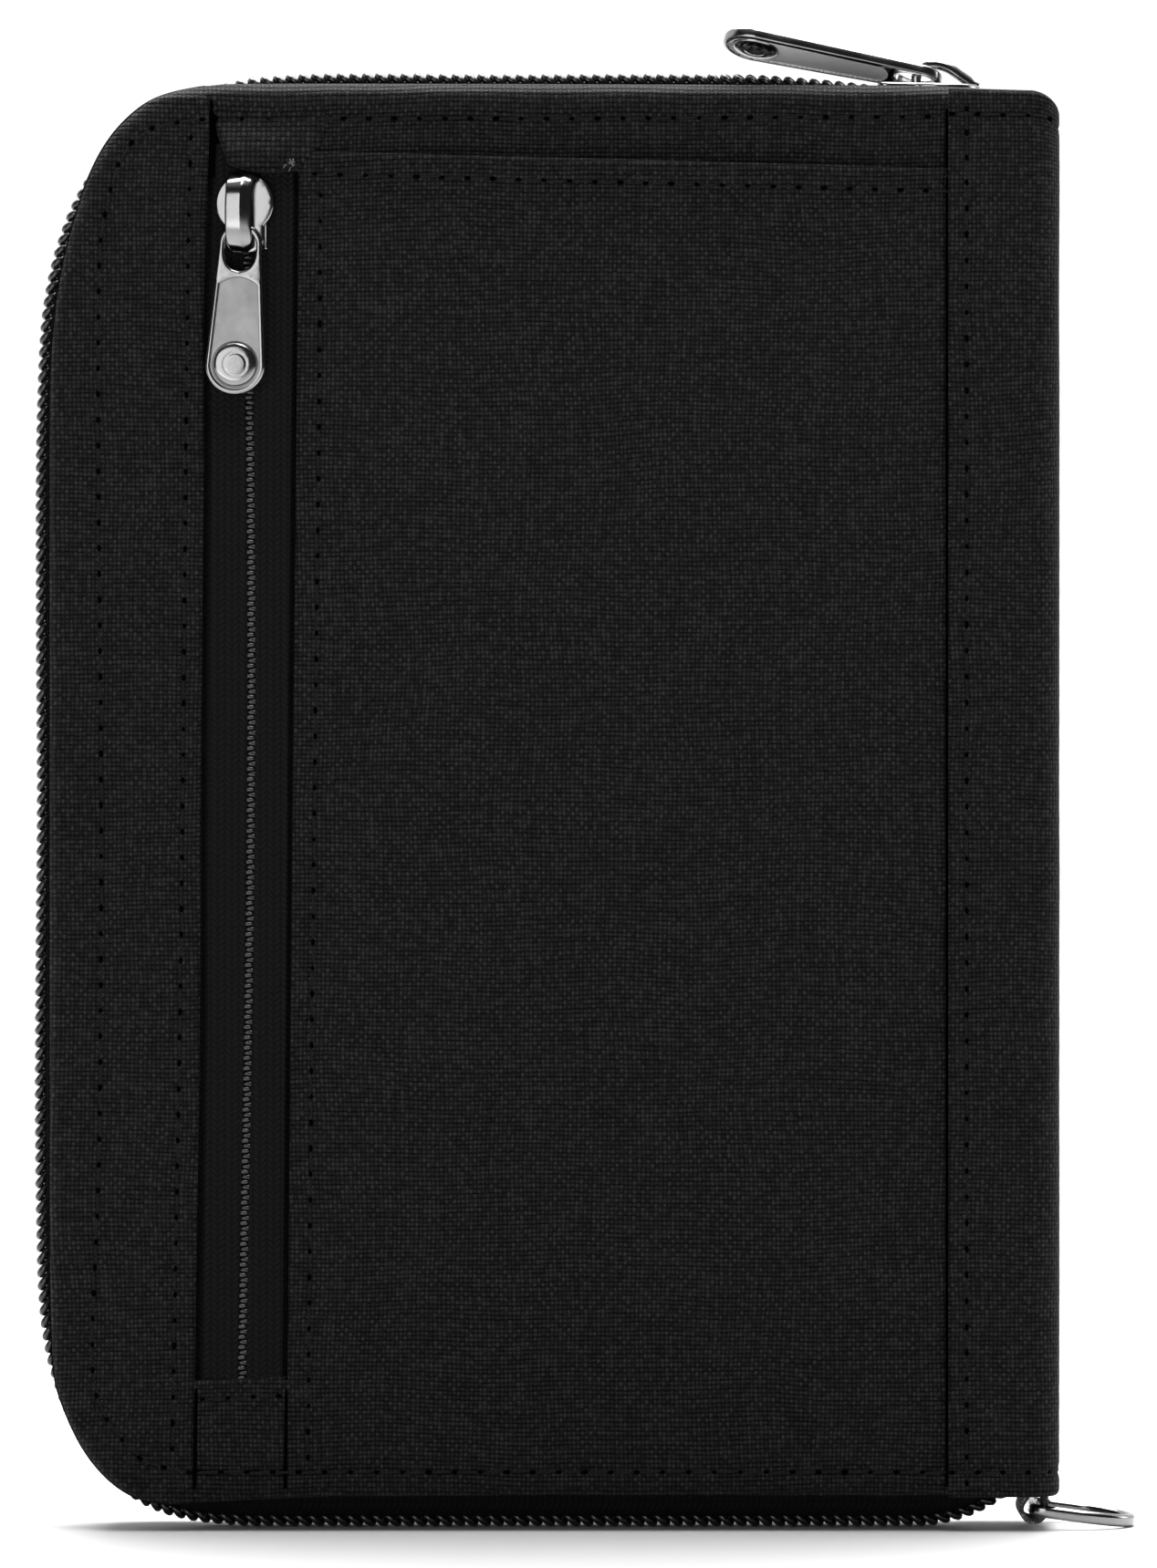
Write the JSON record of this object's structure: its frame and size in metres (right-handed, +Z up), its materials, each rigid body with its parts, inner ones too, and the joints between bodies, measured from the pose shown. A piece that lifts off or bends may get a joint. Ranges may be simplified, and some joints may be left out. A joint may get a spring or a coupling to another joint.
{
  "type": "passport holder wallet",
  "caption": "Zip-around fabric passport wallet with a back zip pocket, a slip pocket, inner sleeves and a D-ring on the spine.",
  "frame": {"origin": "on the floor line under the wallet, halfway along the bottom zip run and halfway through the thickness, wallet closed and standing on its bottom zip", "axes": "+X towards the spine, +Z up, back cover with the zip pocket on the -Y side"},
  "size_m": [0.1137, 0.0195, 0.1548],
  "materials": {
    "outer_fabric": "black plain-weave polyester",
    "zip_tape": "black woven zip tape",
    "zip_coil": "black nylon coil",
    "lining": "dark grey smooth lining",
    "board": "stiffening sheet",
    "padding": "soft filler",
    "thread": "black sewing thread",
    "webbing": "grey and black melange webbing",
    "gunmetal": "polished black nickel"
  },
  "bodies": {
    "back_cover": {"back_zip_coil": "zip_coil", "back_zip_tape": "zip_tape", "back_lining": "lining", "back_board": "board", "back_padding": "padding", "back_outer_fabric": "outer_fabric", "left_edge_strip": "outer_fabric", "slip_pocket_panel": "outer_fabric", "spine_fabric_back_strip": "outer_fabric", "pocket_bag": "lining", "pocket_zip_tape_left": "zip_tape", "pocket_zip_coil_left": "zip_coil", "pocket_zip_tape_right": "zip_tape", "pocket_zip_coil_right": "zip_coil", "pocket_zip_end_patch": "outer_fabric", "pocket_zip_top_tuck": "outer_fabric", "pocket_bar_tack": "thread", "document_pocket": "lining", "card_slot_upper": "lining", "card_slot_middle": "lining", "card_slot_lower": "lining"},
    "spine": {"spine_fabric": "outer_fabric", "spine_lining": "lining", "ring_loop": "webbing"},
    "front_cover": {"front_zip_coil": "zip_coil", "front_zip_tape": "zip_tape", "front_lining": "lining", "front_board": "board", "front_padding": "padding", "front_outer_fabric": "outer_fabric", "spine_fabric_front_strip": "outer_fabric", "passport_sleeve": "lining"},
    "main_slider": {"main_slider": "gunmetal"},
    "main_puller": {"main_puller": "gunmetal"},
    "pocket_slider": {"pocket_slider": "gunmetal"},
    "pocket_puller": {"pocket_puller": "gunmetal"},
    "d_ring": {"d_ring": "gunmetal"}
  },
  "joints": [
    {"name": "spine_fold_back", "type": "hinge", "parent": "back_cover", "child": "spine", "pos_m": [0.0515, -0.0073, 0.075], "axis": [0, 0, -1], "range_deg": [0, 90]},
    {"name": "spine_fold_front", "type": "hinge", "parent": "spine", "child": "front_cover", "pos_m": [0.0515, 0.0073, 0.075], "axis": [0, 0, -1], "range_deg": [0, 90]},
    {"name": "main_zip_slide", "type": "slide", "parent": "back_cover", "child": "main_slider", "axis": [-0.9997, 0, 0.0262], "range_m": [0, 0.062], "deforming": ["back_zip_coil", "front_zip_coil"]},
    {"name": "main_puller_swing", "type": "hinge", "parent": "main_slider", "child": "main_puller", "pos_m": [0.04035, 0, 0.14991], "axis": [0, 1, 0], "range_deg": [0, 150]},
    {"name": "pocket_zip_slide", "type": "slide", "parent": "back_cover", "child": "pocket_slider", "axis": [0, 0, -1], "range_m": [0, 0.113], "deforming": ["pocket_zip_coil_left", "pocket_zip_coil_right"]},
    {"name": "pocket_puller_swing", "type": "hinge", "parent": "pocket_slider", "child": "pocket_puller", "pos_m": [-0.031, -0.00933, 0.1336], "axis": [-1, 0, 0], "range_deg": [0, 150]},
    {"name": "d_ring_swing", "type": "hinge", "parent": "spine", "child": "d_ring", "pos_m": [0.05005, 0, 0.00198], "axis": [0, 1, 0], "range_deg": [-12, 150]}
  ],
  "couplings": [
    {"joint": "spine_fold_front", "follows": "spine_fold_back", "ratio": 1}
  ]
}
